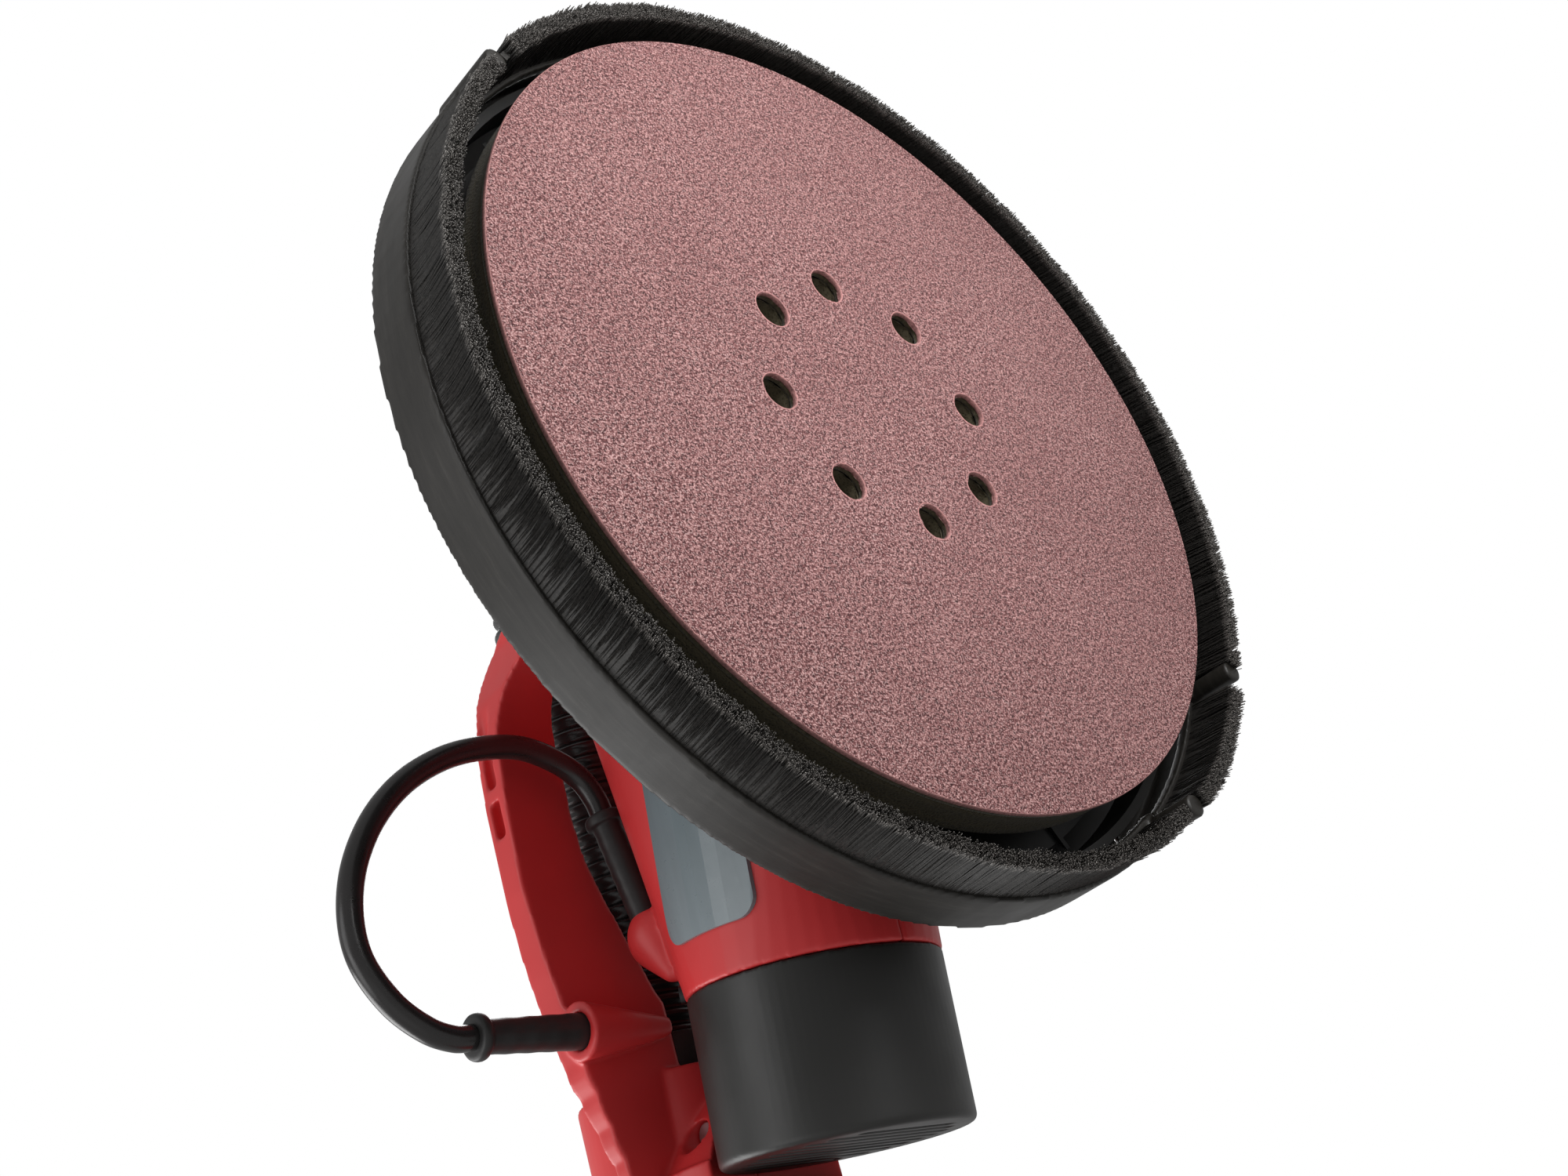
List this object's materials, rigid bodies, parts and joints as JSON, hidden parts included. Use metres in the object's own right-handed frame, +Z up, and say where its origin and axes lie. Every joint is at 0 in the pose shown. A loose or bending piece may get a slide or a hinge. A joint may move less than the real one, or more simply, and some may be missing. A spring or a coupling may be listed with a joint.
{
  "type": "disc sander head",
  "caption": "Large round drywall-type disc sander with orbital drive, brush skirt, tilting fork handle, dust hose and jumper cord",
  "frame": {"origin": "on the spindle axis in the plane of the bristle tips, where the tool rests", "axes": "+Z up through the head along the spindle, motor and handle towards -Y, jumper cord on the +X side"},
  "size_m": [0.251, 0.5636, 0.1695],
  "materials": {
    "abrasive": "grainy abrasive paper",
    "pad_hooks": "hook fabric",
    "pad_foam": "dense open foam",
    "black_plastic": "moulded satin",
    "band_plastic": "satin, lightly scuffed",
    "bristle": "nylon filament",
    "steel": "machined",
    "bearing_steel": "ground",
    "gear_steel": "hardened",
    "spring_steel": "drawn wire",
    "cast_aluminium": "die cast",
    "red_plastic": "fine moulded texture",
    "lamination": "stacked laminations",
    "copper": "copper segments",
    "brass": "drawn",
    "carbon": "carbon graphite",
    "cap_plastic": "satin moulded",
    "black_steel": "black oxide",
    "badge": "blue-grey gradient",
    "rubber": "soft satin",
    "hose": "glossy corrugated",
    "cord": "glossy sheath",
    "circuit_board": "coated board"
  },
  "bodies": {
    "head": {"hose_hooks": "red_plastic", "pad_shroud": "black_plastic", "gear_housing": "cast_aluminium", "gear_housing_screws": "steel", "motor_housing_left": "red_plastic", "motor_housing_right": "red_plastic", "housing_screws": "steel", "stator": "lamination", "motor_bearing_front": "bearing_steel", "motor_bearing_rear": "bearing_steel", "bearing_bracket": "black_plastic", "brush_holders": "brass", "carbon_brushes": "carbon", "motor_cap": "cap_plastic", "cap_screws": "black_steel", "badge_plate": "badge", "spindle_bearing_lower": "bearing_steel", "spindle_bearing_upper": "bearing_steel", "pivot_washers": "steel", "pivot_bolts": "steel", "hose_cuff_front": "black_plastic", "cord_boot_head": "rubber", "dust_hose": "hose", "jumper_cord": "cord", "skirt_springs": "spring_steel"},
    "spindle": {"spindle": "steel", "crown_gear": "gear_steel", "counterweight": "gear_steel"},
    "pad": {"pad_bearing": "bearing_steel", "pad_arbor": "steel", "pad_bolt": "steel", "backing_plate": "black_plastic", "pad_foam": "pad_foam", "hook_layer": "pad_hooks", "abrasive_disc": "abrasive"},
    "rotor": {"rotor_shaft": "steel", "pinion": "gear_steel", "cooling_fan": "black_plastic", "rotor_core": "lamination", "commutator": "copper"},
    "skirt": {"brush_band": "band_plastic", "brush_bristles": "bristle", "edge_segment": "band_plastic", "edge_bristles": "bristle"},
    "handle": {"handle_left": "red_plastic", "handle_right": "red_plastic", "handle_screws": "steel", "soft_grip": "rubber", "duct_tube": "black_plastic", "dust_spigot": "black_plastic", "cable_gland": "black_plastic", "switch_module": "black_plastic", "control_board": "circuit_board", "hose_cuff_rear": "black_plastic", "cord_boot_handle": "rubber", "trigger_pin": "steel", "trigger_spring": "spring_steel"},
    "trigger": {"trigger": "black_plastic"},
    "lock_button": {"lock_button": "black_plastic"},
    "speed_dial": {"speed_dial": "black_plastic"}
  },
  "joints": [
    {"name": "spindle_spin", "type": "hinge", "parent": "head", "child": "spindle", "pos_m": [0, 0, 0], "axis": [0, 0, 1], "continuous": true},
    {"name": "pad_spin", "type": "hinge", "parent": "spindle", "child": "pad", "pos_m": [0, 0.0025, 0], "axis": [0, 0, 1], "continuous": true},
    {"name": "motor_spin", "type": "hinge", "parent": "head", "child": "rotor", "pos_m": [0, 0, 0.067], "axis": [0, -0.9925, 0.1219], "continuous": true},
    {"name": "skirt_float", "type": "slide", "parent": "head", "child": "skirt", "axis": [0, 0, 1], "range_m": [0, 0.004], "stiffness_N_per_m": 2500, "springref_m": -0.018, "deforming": ["skirt_springs"]},
    {"name": "handle_tilt", "type": "hinge", "parent": "head", "child": "handle", "pos_m": [0, -0.005, 0.082], "axis": [-1, 0, 0], "range_deg": [0, 90], "deforming": ["dust_hose", "jumper_cord"]},
    {"name": "trigger_pull", "type": "hinge", "parent": "handle", "child": "trigger", "pos_m": [0, -0.214, 0.117], "axis": [-1, 0, 0], "range_deg": [0, 7], "stiffness_Nm_per_rad": 2, "springref_deg": -8.59, "deforming": ["trigger_spring"]},
    {"name": "lock_press", "type": "slide", "parent": "handle", "child": "lock_button", "axis": [-1, 0, 0], "range_m": [0, 0.003], "stiffness_N_per_m": 400, "springref_m": -0.004},
    {"name": "dial_turn", "type": "hinge", "parent": "handle", "child": "speed_dial", "pos_m": [0.008, -0.182, 0.118], "axis": [0, 0, 1], "range_deg": [0, 270]}
  ],
  "couplings": [
    {"joint": "motor_spin", "follows": "spindle_spin", "ratio": 3}
  ]
}
